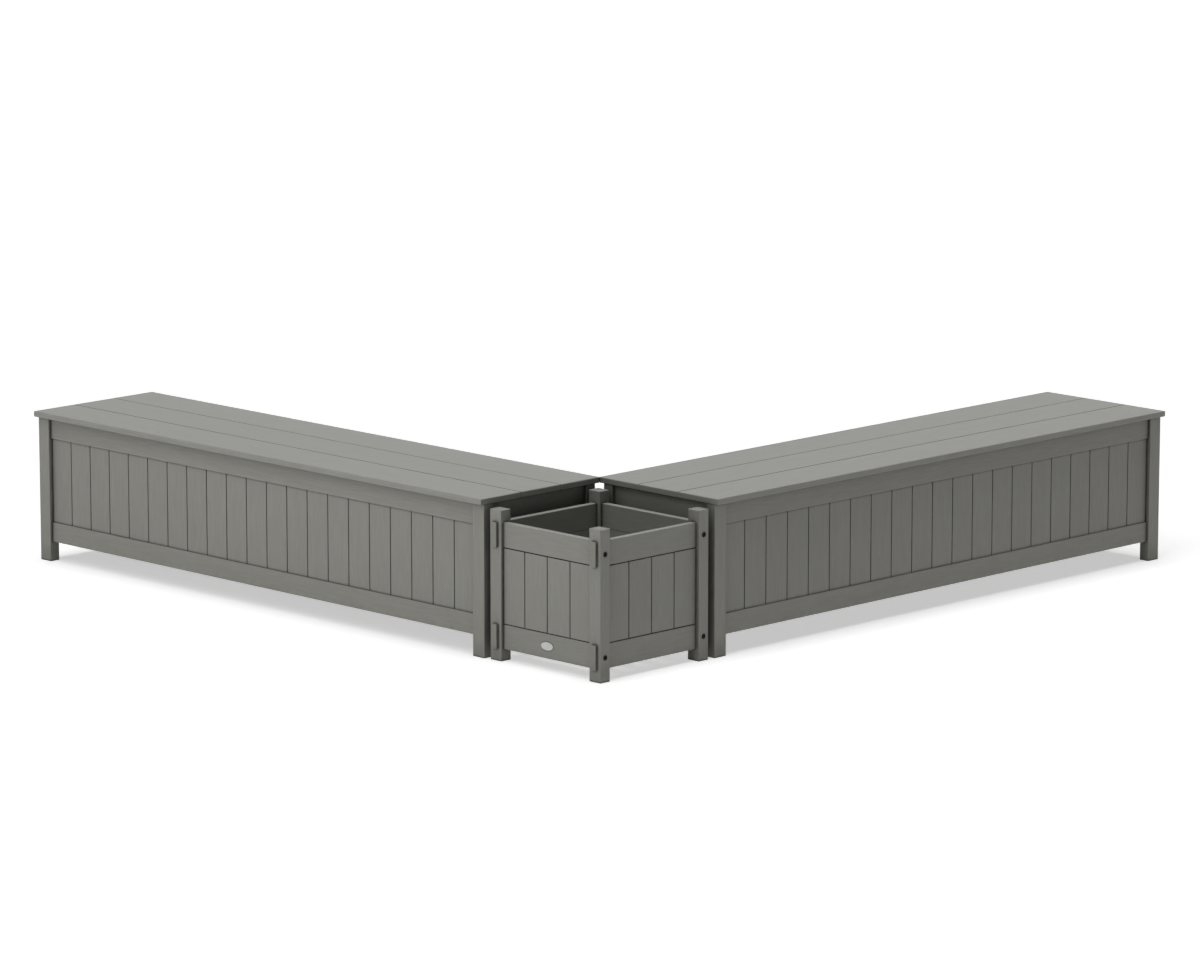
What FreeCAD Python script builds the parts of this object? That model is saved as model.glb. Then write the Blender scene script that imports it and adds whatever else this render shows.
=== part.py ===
import FreeCAD, Part
import os
import re
from collections import namedtuple

import Sketcher

# A corner set of two backless benches and a square planter, all of plastic lumber.
# The benches stand at a right angle: the front bench runs along X, the side bench along Y.
# The planter fills the outer corner between them. Everything stands on the floor at Z = 0,
# and the origin lies under the middle of the whole set.

# Driving sizes in millimetres: name, value and what the size is
SIZES = {
    # layout of the set
    "planter_gap": (15.0, "least room between the planter's posts and the benches' legs"),
    "seat_corner_gap": (0.3, "room along Y between the two seats, whose corners all but touch"),
    "seat_corner_lap": (1.8, "front bench's seat runs this far past the side bench's along X"),
    "front_bench_advance": (6.4, "front bench's legs stand this far in front of the planter's posts"),
    "side_bench_advance": (1.7, "side bench's legs stand this far in front of the planter's posts"),
    # bench as a whole, over the legs
    "bench_length": (1831.3, "over the legs"),
    "bench_depth": (415.8, "over the legs"),
    "bench_height": (433.0, "floor to the seat"),
    # lumber shared by benches and planter
    "rail_thickness": (18.0, "thickness of every rail"),
    "board_round": (1.8, "rounding along the edges of rails"),
    "end_round": (0.6, "rounding around the sawn ends of the planter's rails"),
    "post_round": (1.8, "rounding of leg and post edges"),
    # seat
    "top_thickness": (16.4, "thickness of the seat boards"),
    "top_overhang": (13.5, "seat past the legs at the front and back"),
    "end_overhang": (3.4, "seat past the legs at each end"),
    "top_gap": (0.5, "seam between two seat boards, below their rounded edges"),
    "top_round": (2.5, "rounding of the seat boards' upper and lower edges"),
    # legs
    "leg_width": (44.0, "along the bench"),
    "leg_depth": (32.0, "across the bench"),
    # bench rails and their joints
    "rail_setback": (8.7, "rail faces behind the leg faces"),
    "upper_rail_height": (60.3, "height of the bench's upper rails"),
    "lower_rail_height": (56.7, "height of the bench's lower rails"),
    "bench_floor_gap": (56.6, "floor to the underside of the bench's lower rails"),
    "tenon_thickness": (10.0, "thickness of the bench rails' tenons"),
    "tenon_length": (19.0, "tenons of the long rails"),
    "end_tenon_length": (11.0, "tenons of the short rails at the bench ends"),
    "clearance": (0.2, "room on each side of a joint, screw or bolt"),
    "overcut": (1.0, "how far a cut runs past the face it opens"),
    # tongued and grooved planks
    "bench_plank_thickness": (8.0, "thickness of the bench planks"),
    "bench_plank_setback": (3.6, "bench planks behind the rail faces"),
    "bench_tongue": (2.6, "thickness of the bench planks' tongues"),
    "bench_plank_count": (21, "planks in a long side"),
    "bench_end_plank_count": (4, "planks in an end"),
    "plank_seam": (2.4, "gap that shows between two planks"),
    "plank_ease": (0.8, "chamfer along a plank's front edges"),
    "tongue_length": (4.0, "tongue past the middle of the seam"),
    "groove_depth": (8.0, "plank ends in the rails"),
    # braces under the seat
    "brace_count": (5, "braces in a bench"),
    "brace_width": (60.0, "along the bench"),
    "brace_thickness": (18.0, "thickness of a brace"),
    "brace_bearing": (11.0, "brace end on the rail's ledge"),
    # screws
    "screw_diameter": (4.5, "shank"),
    "screw_length": (28.0, "over the head"),
    "screw_head_diameter": (8.0, "countersunk head"),
    "screw_head_height": (2.5, "countersunk head"),
    "seat_screw_edge": (26.0, "seat screws from the seam beside them"),
    "seat_screw_spread": (60.0, "between the two screws in an outer seat board"),
    # planter as a whole, over the posts
    "planter_width": (412.4, "along X"),
    "planter_depth": (403.9, "along Y"),
    "planter_height": (407.8, "height of the posts"),
    "post_width": (41.5, "along X"),
    "post_depth": (35.5, "along Y"),
    # planter rails
    "planter_rail_height": (67.0, "height of the planter's rails"),
    "planter_rail_drop": (33.2, "rails below the tops of the posts"),
    "planter_floor_gap": (32.8, "floor to the underside of the planter's lower rails"),
    "tenon_projection": (7.4, "through tenons past the post faces"),
    "stub_length": (10.0, "cross rail ends housed in the posts"),
    "planter_tongue": (6.0, "thickness of the planter planks' tongues"),
    "planter_plank_count": (4, "planks in a side of the planter"),
    "planter_plank_cover": (84.6, "seam to seam; the outer planks are trimmed to fit"),
    # bolts and threaded inserts of the planter
    "bolt_diameter": (8.0, "shank"),
    "bolt_length": (55.0, "under the head"),
    "bolt_head_diameter": (13.8, "round head"),
    "bolt_head_height": (4.5, "round head"),
    "bolt_head_round": (3.0, "rounding of the head's rim"),
    "bolt_socket_radius": (2.8, "hexagon socket, to its corners"),
    "bolt_socket_depth": (2.5, "hexagon socket"),
    "bolt_recess": (2.0, "depth of the counterbore in the post"),
    "insert_diameter": (12.0, "threaded insert in the end of a cross rail"),
    "insert_length": (20.0, "threaded insert"),
    # planter floor
    "slat_count": (5, "floor slats"),
    "slat_thickness": (16.0, "thickness of a slat"),
    "slat_gap": (8.0, "drain gap between two slats"),
    "slat_end_gap": (1.0, "slat ends to the rails"),
    "cleat_width": (18.0, "cleat, level"),
    "cleat_height": (20.0, "cleat, upright"),
    "cleat_lift": (5.0, "cleats above the underside of the lower rails"),
    "cleat_screw_count": (3, "screws in a cleat"),
    # blank oval plate
    "badge_length": (44.0, "long axis"),
    "badge_height": (22.0, "short axis"),
    "badge_thickness": (2.0, "over the rim"),
    "badge_rim": (1.6, "width of the raised rim"),
    "badge_rim_height": (0.6, "rim above the field"),
}

# Levels and spans that follow from the driving sizes
LEG_HEIGHT = "(bench_height - top_thickness)"
UPPER_RAIL_BASE = f"({LEG_HEIGHT} - upper_rail_height)"
LOWER_RAIL_TOP = "(bench_floor_gap + lower_rail_height)"
BENCH_OPENING = f"({UPPER_RAIL_BASE} - {LOWER_RAIL_TOP})"
LONG_SPAN = "(bench_length - 2 * leg_width)"
END_SPAN = "(bench_depth - 2 * leg_depth)"
TENON_INSET = "((rail_thickness - tenon_thickness) / 2)"
BENCH_PLANK_FACE = "(rail_setback + bench_plank_setback)"
BRACE_PITCH = f"({LONG_SPAN} / brace_count)"
LEDGE = "(rail_setback + rail_thickness - brace_bearing)"
SEAT_PLACES = ("front", "middle", "back")
SEAT_COUNT = len(SEAT_PLACES)
SEAT_BOARD = f"((bench_depth + 2 * top_overhang - {SEAT_COUNT - 1} * top_gap) / {SEAT_COUNT})"
SCREW_RADIUS = "(screw_diameter / 2)"
SCREW_BITE = "(screw_length - brace_thickness)"

POST_WALL_X = "((post_width - rail_thickness) / 2)"
POST_WALL_Y = "((post_depth - rail_thickness) / 2)"
PLANTER_UPPER_BASE = "(planter_height - planter_rail_drop - planter_rail_height)"
PLANTER_LOWER_TOP = "(planter_floor_gap + planter_rail_height)"
PLANTER_OPENING = f"({PLANTER_UPPER_BASE} - {PLANTER_LOWER_TOP})"
PLANTER_SPAN_X = "(planter_width - 2 * post_width)"
PLANTER_SPAN_Y = "(planter_depth - 2 * post_depth)"
TENON_RAIL_LENGTH = "(planter_depth + 2 * tenon_projection)"
CROSS_RAIL_LENGTH = f"({PLANTER_SPAN_X} + 2 * stub_length)"
BOLT_RADIUS = "(bolt_diameter / 2)"
CLEAT_BASE = "(planter_floor_gap + cleat_lift)"
CLEAT_SCREW_PITCH = f"({PLANTER_SPAN_Y} / cleat_screw_count)"

# Planter posts to the legs of each bench: what brings the seats' corners together, but never
# less than the planter's own room
SEAT_REACH = "(bench_depth + top_overhang + end_overhang)"
FRONT_BENCH_GAP = (f"max(planter_gap; {SEAT_REACH} - seat_corner_lap - side_bench_advance"
                   " - planter_width)")
SIDE_BENCH_GAP = (f"max(planter_gap; {SEAT_REACH} + seat_corner_gap - front_bench_advance"
                  " - planter_depth)")

# The planter's outer corner, placed so that the whole set is centred on the origin
CORNER_X = (f"((planter_width + {FRONT_BENCH_GAP} + bench_length + end_overhang"
            " - top_overhang - side_bench_advance) / 2)")
CORNER_Y = (f"((top_overhang + front_bench_advance - planter_depth - {SIDE_BENCH_GAP}"
            " - bench_length - end_overhang) / 2)")

# A setting is where a bench or the planter stands: its left front corner and its turn
Setting = namedtuple("Setting", "name x y turn")
PLANTER = Setting("planter", f"({CORNER_X} - planter_width)", CORNER_Y, 0)
FRONT_BENCH = Setting("front_bench",
                      f"({CORNER_X} - planter_width - {FRONT_BENCH_GAP} - bench_length)",
                      f"({CORNER_Y} - front_bench_advance)", 0)
SIDE_BENCH = Setting("side_bench", f"({CORNER_X} + side_bench_advance)",
                     f"({CORNER_Y} + planter_depth + {SIDE_BENCH_GAP})", 90)

AXIS_X = FreeCAD.Vector(1, 0, 0)
AXIS_Y = FreeCAD.Vector(0, 1, 0)
AXIS_Z = FreeCAD.Vector(0, 0, 1)
TOWARDS = {
    "up": FreeCAD.Rotation(),
    "down": FreeCAD.Rotation(AXIS_X, 180),
    "right": FreeCAD.Rotation(AXIS_Y, 90),
    "left": FreeCAD.Rotation(AXIS_Y, -90),
    "back": FreeCAD.Rotation(AXIS_X, -90),
    "front": FreeCAD.Rotation(AXIS_X, 90),
}

doc = FreeCAD.newDocument("CornerBenchSet")
nodes = []


# Sheet and small helpers
def fill_sheet():
    """Write every driving size into the sheet, under its own alias."""
    sheet = doc.addObject("Spreadsheet::Sheet", "Sizes")
    for row, (name, (value, meaning)) in enumerate(SIZES.items(), start=1):
        sheet.set(f"A{row}", name)
        sheet.set(f"B{row}", str(value))
        sheet.set(f"C{row}", meaning)
        sheet.setAlias(f"B{row}", name)
    doc.recompute()


def bind(item, prop, text):
    """Tie a property to a formula written with the names of the sheet."""
    formula = re.sub(r"\b[a-z_]+\b(?!\()", lambda word: "Sizes." + word.group(0), text)
    item.setExpression(prop, formula)


def move(item, spot, rotation=None):
    """Put an item at a spot given as three formulas."""
    item.Placement = FreeCAD.Placement(FreeCAD.Vector(), rotation or FreeCAD.Rotation())
    for axis, text in zip("xyz", spot):
        bind(item, "Placement.Base." + axis, text)


def stand(item, setting, x, y, z="0", turn=0):
    """Put a piece at x, y, z of its bench or planter, turned about the vertical."""
    if setting.turn == 0:
        spot = (f"{setting.x} + {x}", f"{setting.y} + {y}", z)
    else:
        spot = (f"{setting.x} - ({y})", f"{setting.y} + {x}", z)
    move(item, spot, FreeCAD.Rotation(AXIS_Z, setting.turn + turn))


def new_body(label):
    body = doc.addObject("PartDesign::Body", label)
    body.Label = label
    return body


def keep(item):
    """Remember a finished sub-part, which becomes one named node."""
    nodes.append(item)


def origin_part(body, role):
    return next(item for item in body.Origin.OriginFeatures if item.Role == role)


def block(body, action, name, size, spot=("0", "0", "0")):
    """Add or cut a box; action is Additive or Subtractive."""
    box = body.newObject(f"PartDesign::{action}Box", name)
    for prop, text in zip(("Length", "Width", "Height"), size):
        bind(box, prop, text)
    move(box, spot)
    return box


def rod(body, action, name, radius, length, spot, heading):
    """Add or cut a cylinder that runs from a spot towards a heading."""
    cylinder = body.newObject(f"PartDesign::{action}Cylinder", name)
    bind(cylinder, "Radius", radius)
    bind(cylinder, "Height", length)
    move(cylinder, spot, TOWARDS[heading])
    return cylinder


def cone(body, action, name, mouth, throat, length, spot, heading):
    """Add or cut a cone from its mouth at a spot to its throat."""
    frustum = body.newObject(f"PartDesign::{action}Cone", name)
    bind(frustum, "Radius1", mouth)
    bind(frustum, "Radius2", throat)
    bind(frustum, "Height", length)
    move(frustum, spot, TOWARDS[heading])
    return frustum


def runs_along_x(edge):
    box = edge.BoundBox
    return box.XLength > max(box.YLength, box.ZLength)


def lies_across_x(edge):
    return not runs_along_x(edge)


def lies_level(edge):
    box = edge.BoundBox
    return box.ZLength < max(box.XLength, box.YLength)


def round_edges(body, blank, radius, picks=None):
    """Round all edges of a blank, or only those that a test picks."""
    doc.recompute([blank])
    fillet = body.newObject("PartDesign::Fillet", "Rounding")
    edges = enumerate(blank.Shape.Edges, start=1)
    chosen = [f"Edge{number}" for number, edge in edges if picks is None or picks(edge)]
    fillet.Base = (blank, chosen)
    bind(fillet, "Radius", radius)
    return fillet


def row(body, name, feature, axis_role, pitch, count):
    """Repeat the newest feature, or the whole body where it is None, at an even pitch."""
    if feature is None:
        doc.recompute([body.Tip])
    pattern = body.newObject("PartDesign::LinearPattern", name)
    if feature is None:
        pattern.TransformMode = "Whole shape"
    else:
        pattern.Originals = [feature]
    pattern.Direction = (origin_part(body, axis_role), [""])
    bind(pattern, "Length", f"{pitch} * ({count} - 1)")
    bind(pattern, "Occurrences", count)
    body.Tip = pattern
    return pattern


def pin_corner(sketch, index, direction, guess, text):
    """Hold the start of a line at a distance from the sketch's origin."""
    constraint = Sketcher.Constraint(direction, -1, 1, index, 1, guess)
    number = sketch.addConstraint(constraint)
    bind(sketch, f"Constraints[{number}]", text)


def outline(body, name, corners):
    """A closed sketch on the floor plane; each corner is a pair of formulas, None on the axis."""
    sketch = body.newObject("Sketcher::SketchObject", name)
    sketch.AttachmentSupport = [(origin_part(body, "XY_Plane"), "")]
    sketch.MapMode = "FlatFace"
    guess = [FreeCAD.Vector(index % 7 + 1, index + 1, 0) for index in range(len(corners))]
    for index, start in enumerate(guess):
        sketch.addGeometry(Part.LineSegment(start, guess[(index + 1) % len(guess)]))
    for index in range(len(corners)):
        following = (index + 1) % len(corners)
        sketch.addConstraint(Sketcher.Constraint("Coincident", index, 2, following, 1))
    for index, (x_text, y_text) in enumerate(corners):
        pin_corner(sketch, index, "DistanceX", guess[index].x, x_text)
        if y_text is None:
            sketch.addConstraint(Sketcher.Constraint("PointOnObject", index, 1, -1))
        else:
            pin_corner(sketch, index, "DistanceY", guess[index].y, y_text)
    return sketch


def group(label, members):
    """Several separate solids that share one node."""
    compound = doc.addObject("Part::Compound", label)
    compound.Label = label
    compound.Links = members
    keep(compound)


# Screws and their holes
def screw(body, spot, heading):
    cone(body, "Additive", "ScrewHead", "screw_head_diameter / 2", SCREW_RADIUS,
         "screw_head_height", spot, heading)
    rod(body, "Additive", "ScrewShank", SCREW_RADIUS, "screw_length", spot, heading)


def countersink(body, spot, heading):
    return cone(body, "Subtractive", "Countersink", "screw_head_diameter / 2 + clearance",
                f"{SCREW_RADIUS} + clearance", "screw_head_height", spot, heading)


def pilot_hole(body, spot, heading, depth):
    return rod(body, "Subtractive", "ScrewHole", f"{SCREW_RADIUS} + clearance", depth, spot, heading)


def screw_hole(body, spot, heading, depth):
    """A clear hole of a given depth with a countersink at its mouth."""
    countersink(body, spot, heading)
    pilot_hole(body, spot, heading, depth)


# Tongued and grooved planks
def plank_panel(label, width, count, pitch, thickness, tongue, opening):
    """Planks side by side between two uprights, with their ends in the rails' grooves.

    The front faces lie at Y = 0. The row is centred on the width, which starts at X = 0; the
    outer planks are trimmed there and have tongues for the grooves of the uprights.
    """
    panel = new_body(label)
    surplus = f"(({count} * {pitch} - {width}) / 2)"
    height = f"({opening} + 2 * groove_depth - 2 * clearance)"
    front = f"(({thickness} - {tongue}) / 2)"
    back = f"(({thickness} + {tongue}) / 2)"
    section = outline(panel, "PlankSection", [
        ("plank_seam / 2 + plank_ease", None),
        (f"{pitch} - plank_seam / 2 - plank_ease", None),
        (f"{pitch} - plank_seam / 2", "plank_ease"),
        (f"{pitch} - plank_seam / 2", front),
        (f"{pitch} + tongue_length", front),
        (f"{pitch} + tongue_length", back),
        (f"{pitch} - clearance / 2", back),
        (f"{pitch} - clearance / 2", thickness),
        ("clearance / 2", thickness),
        ("clearance / 2", f"{back} + clearance"),
        ("tongue_length + clearance", f"{back} + clearance"),
        ("tongue_length + clearance", f"{front} - clearance"),
        ("plank_seam / 2", f"{front} - clearance"),
        ("plank_seam / 2", "plank_ease"),
    ])
    bind(section, "AttachmentOffset.Base.x", f"-{surplus}")
    plank = panel.newObject("PartDesign::Pad", "Plank")
    plank.Profile = section
    bind(plank, "Length", height)
    row(panel, "PlankRow", plank, "X_Axis", pitch, count)

    trim = f"({surplus} + tongue_length + plank_seam + overcut)"
    trim_size = (trim, f"{thickness} + 2 * overcut", f"{height} + 2 * overcut")
    block(panel, "Subtractive", "LeftTrim", trim_size, (f"plank_seam / 2 - {trim}", "-overcut", "-overcut"))
    block(panel, "Subtractive", "RightTrim", trim_size,
          (f"{width} - plank_seam / 2", "-overcut", "-overcut"))
    reach = "(tongue_length + clearance + plank_seam)"
    tongue_size = (f"tongue_length + {reach}", tongue, height)
    block(panel, "Additive", "LeftTongue", tongue_size, ("-tongue_length", front, "0"))
    block(panel, "Additive", "RightTongue", tongue_size, (f"{width} - {reach}", front, "0"))
    return panel


def bench_panel(label, width, count):
    return plank_panel(label, width, count, f"({width} / {count})", "bench_plank_thickness",
                       "bench_tongue", BENCH_OPENING)


def planter_panel(label, width):
    """A panel as thick as the rails, whose plank ends are cut down to a tongue."""
    panel = plank_panel(label, width, "planter_plank_count", "planter_plank_cover", "rail_thickness",
                        "planter_tongue", PLANTER_OPENING)
    length = f"({width} + 2 * tongue_length + 2 * overcut)"
    start = "-tongue_length - overcut"
    cheek = "((rail_thickness - planter_tongue) / 2 + overcut)"
    back = "(rail_thickness + planter_tongue) / 2"
    tongue = "groove_depth - clearance"
    height = f"({PLANTER_OPENING} + 2 * groove_depth - 2 * clearance)"
    for side, face, gap in (("Front", "-overcut", "plank_seam"), ("Back", back, "clearance")):
        shoulder = f"({tongue} + {gap} + overcut)"
        size = (length, cheek, shoulder)
        block(panel, "Subtractive", side + "ShoulderBelow", size, (start, face, "-overcut"))
        block(panel, "Subtractive", side + "ShoulderAbove", size,
              (start, face, f"{height} + overcut - {shoulder}"))
    return panel


# Bench parts
def bench_leg(label, mirrored):
    """A leg with mortises for two long and two short rails and grooves for the planks.

    Its end face lies at X = 0, or at the far side where it is mirrored, and its outer face at Y = 0.
    """
    leg = new_body(label)
    blank = block(leg, "Additive", "Blank", ("leg_width", "leg_depth", LEG_HEIGHT))
    round_edges(leg, blank, "post_round")

    def across(start, size):
        return f"leg_width - ({start}) - ({size})" if mirrored else start

    mortise_width = "(tenon_thickness + 2 * clearance)"
    mortise_start = f"(rail_setback + {TENON_INSET} - clearance)"
    long_depth = "(tenon_length + clearance + overcut)"
    long_start = across("leg_width - tenon_length - clearance", long_depth)
    end_depth = "(end_tenon_length + clearance + overcut)"
    end_start = across(mortise_start, mortise_width)
    levels = (
        ("Upper", UPPER_RAIL_BASE, "upper_rail_height"),
        ("Lower", "bench_floor_gap", "lower_rail_height"),
    )
    for level, base, rail_height in levels:
        mortise_base = f"{base} + groove_depth - clearance"
        mortise_height = f"({rail_height} - 2 * groove_depth + 2 * clearance)"
        block(leg, "Subtractive", level + "LongMortise", (long_depth, mortise_width, mortise_height),
              (long_start, mortise_start, mortise_base))
        block(leg, "Subtractive", level + "EndMortise", (mortise_width, end_depth, mortise_height),
              (end_start, "leg_depth - end_tenon_length - clearance", mortise_base))
        screw_spot = (across("leg_width - tenon_length / 2", "0"), "leg_depth",
                      f"{base} + {rail_height} / 2")
        screw_hole(leg, screw_spot, "front", "screw_length + clearance")

    slot_width = "(bench_tongue + 2 * clearance)"
    slot_depth = "(tongue_length + clearance + overcut)"
    slot_start = f"({BENCH_PLANK_FACE} + (bench_plank_thickness - bench_tongue) / 2 - clearance)"
    slot_base = f"{LOWER_RAIL_TOP} - groove_depth"
    slot_height = f"({BENCH_OPENING} + 2 * groove_depth)"
    block(leg, "Subtractive", "LongPanelSlot", (slot_depth, slot_width, slot_height),
          (across("leg_width - tongue_length - clearance", slot_depth), slot_start, slot_base))
    block(leg, "Subtractive", "EndPanelSlot", (slot_width, slot_depth, slot_height),
          (across(slot_start, slot_width), "leg_depth - tongue_length - clearance", slot_base))
    return leg


def bench_rail(label, span, height, tenon, groove_below):
    """A rail with its outer face at Y = 0, a tenon at each end and a groove for the planks."""
    rail = new_body(label)
    blank = block(rail, "Additive", "Blank", (span, "rail_thickness", height))
    round_edges(rail, blank, "board_round", runs_along_x)
    block(rail, "Additive", "Tenons",
          (f"{span} + 2 * {tenon}", "tenon_thickness", f"{height} - 2 * groove_depth"),
          (f"-{tenon}", TENON_INSET, "groove_depth"))
    groove_base = "-overcut" if groove_below else f"{height} - groove_depth"
    block(rail, "Subtractive", "PlankGroove",
          (f"{span} + 2 * overcut", "bench_plank_thickness + 2 * clearance", "groove_depth + overcut"),
          ("-overcut", "bench_plank_setback - clearance", groove_base))
    return rail


def pin_tenons(rail, height):
    """Holes through both tenons of a long rail for the screws that hold them in the legs."""
    for place in ("-tenon_length / 2", f"{LONG_SPAN} + tenon_length / 2"):
        pilot_hole(rail, (place, "0", f"{height} / 2"), "back", "rail_thickness")


def cut_brace_seats(rail):
    """Notches in the top inner edge of a long upper rail, one for each brace end."""
    notch_base = "upper_rail_height - brace_thickness"
    notch = block(rail, "Subtractive", "BraceNotch",
                  ("brace_width + 2 * clearance", "brace_bearing + clearance + overcut",
                   "brace_thickness + overcut"),
                  (f"{BRACE_PITCH} / 2 - brace_width / 2 - clearance",
                   "rail_thickness - brace_bearing - clearance", notch_base))
    row(rail, "BraceNotches", notch, "X_Axis", BRACE_PITCH, "brace_count")
    hole = pilot_hole(rail, (f"{BRACE_PITCH} / 2", "rail_thickness - brace_bearing / 2", notch_base),
                      "down", f"{SCREW_BITE} + clearance")
    row(rail, "LedgeHoles", hole, "X_Axis", BRACE_PITCH, "brace_count")


def seat_screw_rows():
    """Places of the seat screws across the bench, two in each board."""
    first_seam = f"({SEAT_BOARD} - top_overhang)"
    second_seam = f"({first_seam} + top_gap + {SEAT_BOARD})"
    return (
        (f"{first_seam} - seat_screw_edge - seat_screw_spread", f"{first_seam} - seat_screw_edge"),
        (f"{first_seam} + top_gap + seat_screw_edge", f"{second_seam} - seat_screw_edge"),
        (f"{second_seam} + top_gap + seat_screw_edge",
         f"{second_seam} + top_gap + seat_screw_edge + seat_screw_spread"),
    )


def seat_board(label, index):
    """One of the three boards of the seat, drilled from below."""
    board = new_body(label)
    size = ("bench_length + 2 * end_overhang", SEAT_BOARD, "top_thickness")
    blank = block(board, "Additive", "Blank", size)
    round_edges(board, blank, "top_round", lies_level)
    start = f"({index} * ({SEAT_BOARD} + top_gap) - top_overhang)"
    first_brace = f"end_overhang + leg_width + {BRACE_PITCH} / 2"
    for place in seat_screw_rows()[index]:
        spot = (first_brace, f"{place} - {start}", "0")
        hole = pilot_hole(board, spot, "up", f"{SCREW_BITE} + clearance")
        row(board, "ScrewHoles", hole, "X_Axis", BRACE_PITCH, "brace_count")
    return board, start


def seat_braces(label):
    """Flat cross boards that carry the seat from the front rail to the back rail."""
    braces = new_body(label)
    length = f"(bench_depth - 2 * {LEDGE})"
    block(braces, "Additive", "Brace", ("brace_width", length, "brace_thickness"))
    for pair in seat_screw_rows():
        for place in pair:
            screw_hole(braces, ("brace_width / 2", f"{place} - {LEDGE}", "0"), "up", "brace_thickness")
    for place in ("brace_bearing / 2", f"{length} - brace_bearing / 2"):
        screw_hole(braces, ("brace_width / 2", place, "brace_thickness"), "down", "brace_thickness")
    row(braces, "BraceRow", None, "X_Axis", BRACE_PITCH, "brace_count")
    return braces


def bench_screws(label):
    """All screws of a bench: in the seat, in the brace ends and in the tenons of the long rails."""
    screws = new_body(label)
    first_brace = f"leg_width + {BRACE_PITCH} / 2"
    for pair in seat_screw_rows():
        for place in pair:
            screw(screws, (first_brace, place, f"{LEG_HEIGHT} - brace_thickness"), "up")
    for place in (f"{LEDGE} + brace_bearing / 2", f"bench_depth - {LEDGE} - brace_bearing / 2"):
        screw(screws, (first_brace, place, LEG_HEIGHT), "down")
    row(screws, "ScrewRows", None, "X_Axis", BRACE_PITCH, "brace_count")
    tenon_middle = "(leg_width - tenon_length / 2)"
    levels = (f"{UPPER_RAIL_BASE} + upper_rail_height / 2", "bench_floor_gap + lower_rail_height / 2")
    for x in (tenon_middle, f"bench_length - {tenon_middle}"):
        for z in levels:
            screw(screws, (x, "leg_depth", z), "front")
            screw(screws, (x, "bench_depth - leg_depth", z), "back")
    return screws


def make_bench(setting):
    """One bench in its setting; left and right are seen from its front."""
    name = setting.name + "_"
    for index, place in enumerate(SEAT_PLACES):
        board, start = seat_board(f"{name}seat_board_{place}", index)
        stand(board, setting, "-end_overhang", start, LEG_HEIGHT)
        keep(board)

    leg_places = (
        ("left_front", False, "0", "0", 0),
        ("right_front", True, "bench_length - leg_width", "0", 0),
        ("left_back", True, "leg_width", "bench_depth", 180),
        ("right_back", False, "bench_length", "bench_depth", 180),
    )
    for place, mirrored, x, y, turn in leg_places:
        leg = bench_leg(f"{name}leg_{place}", mirrored)
        stand(leg, setting, x, y, "0", turn)
        keep(leg)

    long_places = (
        ("front", "leg_width", "rail_setback", 0),
        ("back", "bench_length - leg_width", "bench_depth - rail_setback", 180),
    )
    for place, x, y, turn in long_places:
        upper = bench_rail(f"{name}upper_rail_{place}", LONG_SPAN, "upper_rail_height",
                           "tenon_length", True)
        pin_tenons(upper, "upper_rail_height")
        cut_brace_seats(upper)
        stand(upper, setting, x, y, UPPER_RAIL_BASE, turn)
        lower = bench_rail(f"{name}lower_rail_{place}", LONG_SPAN, "lower_rail_height",
                           "tenon_length", False)
        pin_tenons(lower, "lower_rail_height")
        stand(lower, setting, x, y, "bench_floor_gap", turn)
        keep(upper)
        keep(lower)

    end_places = (
        ("left", "rail_setback", "bench_depth - leg_depth", -90),
        ("right", "bench_length - rail_setback", "leg_depth", 90),
    )
    for place, x, y, turn in end_places:
        upper = bench_rail("UpperEndRail", END_SPAN, "upper_rail_height", "end_tenon_length", True)
        stand(upper, setting, x, y, UPPER_RAIL_BASE, turn)
        lower = bench_rail("LowerEndRail", END_SPAN, "lower_rail_height", "end_tenon_length", False)
        stand(lower, setting, x, y, "bench_floor_gap", turn)
        group(f"{name}end_rails_{place}", [upper, lower])

    panel_base = f"{LOWER_RAIL_TOP} - groove_depth + clearance"
    panel_places = (
        ("front", LONG_SPAN, "bench_plank_count", "leg_width", BENCH_PLANK_FACE, 0),
        ("back", LONG_SPAN, "bench_plank_count", "bench_length - leg_width",
         f"bench_depth - {BENCH_PLANK_FACE}", 180),
        ("left", END_SPAN, "bench_end_plank_count", BENCH_PLANK_FACE, "bench_depth - leg_depth", -90),
        ("right", END_SPAN, "bench_end_plank_count", f"bench_length - {BENCH_PLANK_FACE}", "leg_depth", 90),
    )
    for place, width, count, x, y, turn in panel_places:
        panel = bench_panel(f"{name}planks_{place}", width, count)
        stand(panel, setting, x, y, panel_base, turn)
        keep(panel)

    braces = seat_braces(f"{name}seat_braces")
    stand(braces, setting, f"leg_width + {BRACE_PITCH} / 2 - brace_width / 2", LEDGE,
          f"{LEG_HEIGHT} - brace_thickness")
    keep(braces)
    screws = bench_screws(f"{name}screws")
    stand(screws, setting, "0", "0")
    keep(screws)


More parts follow.
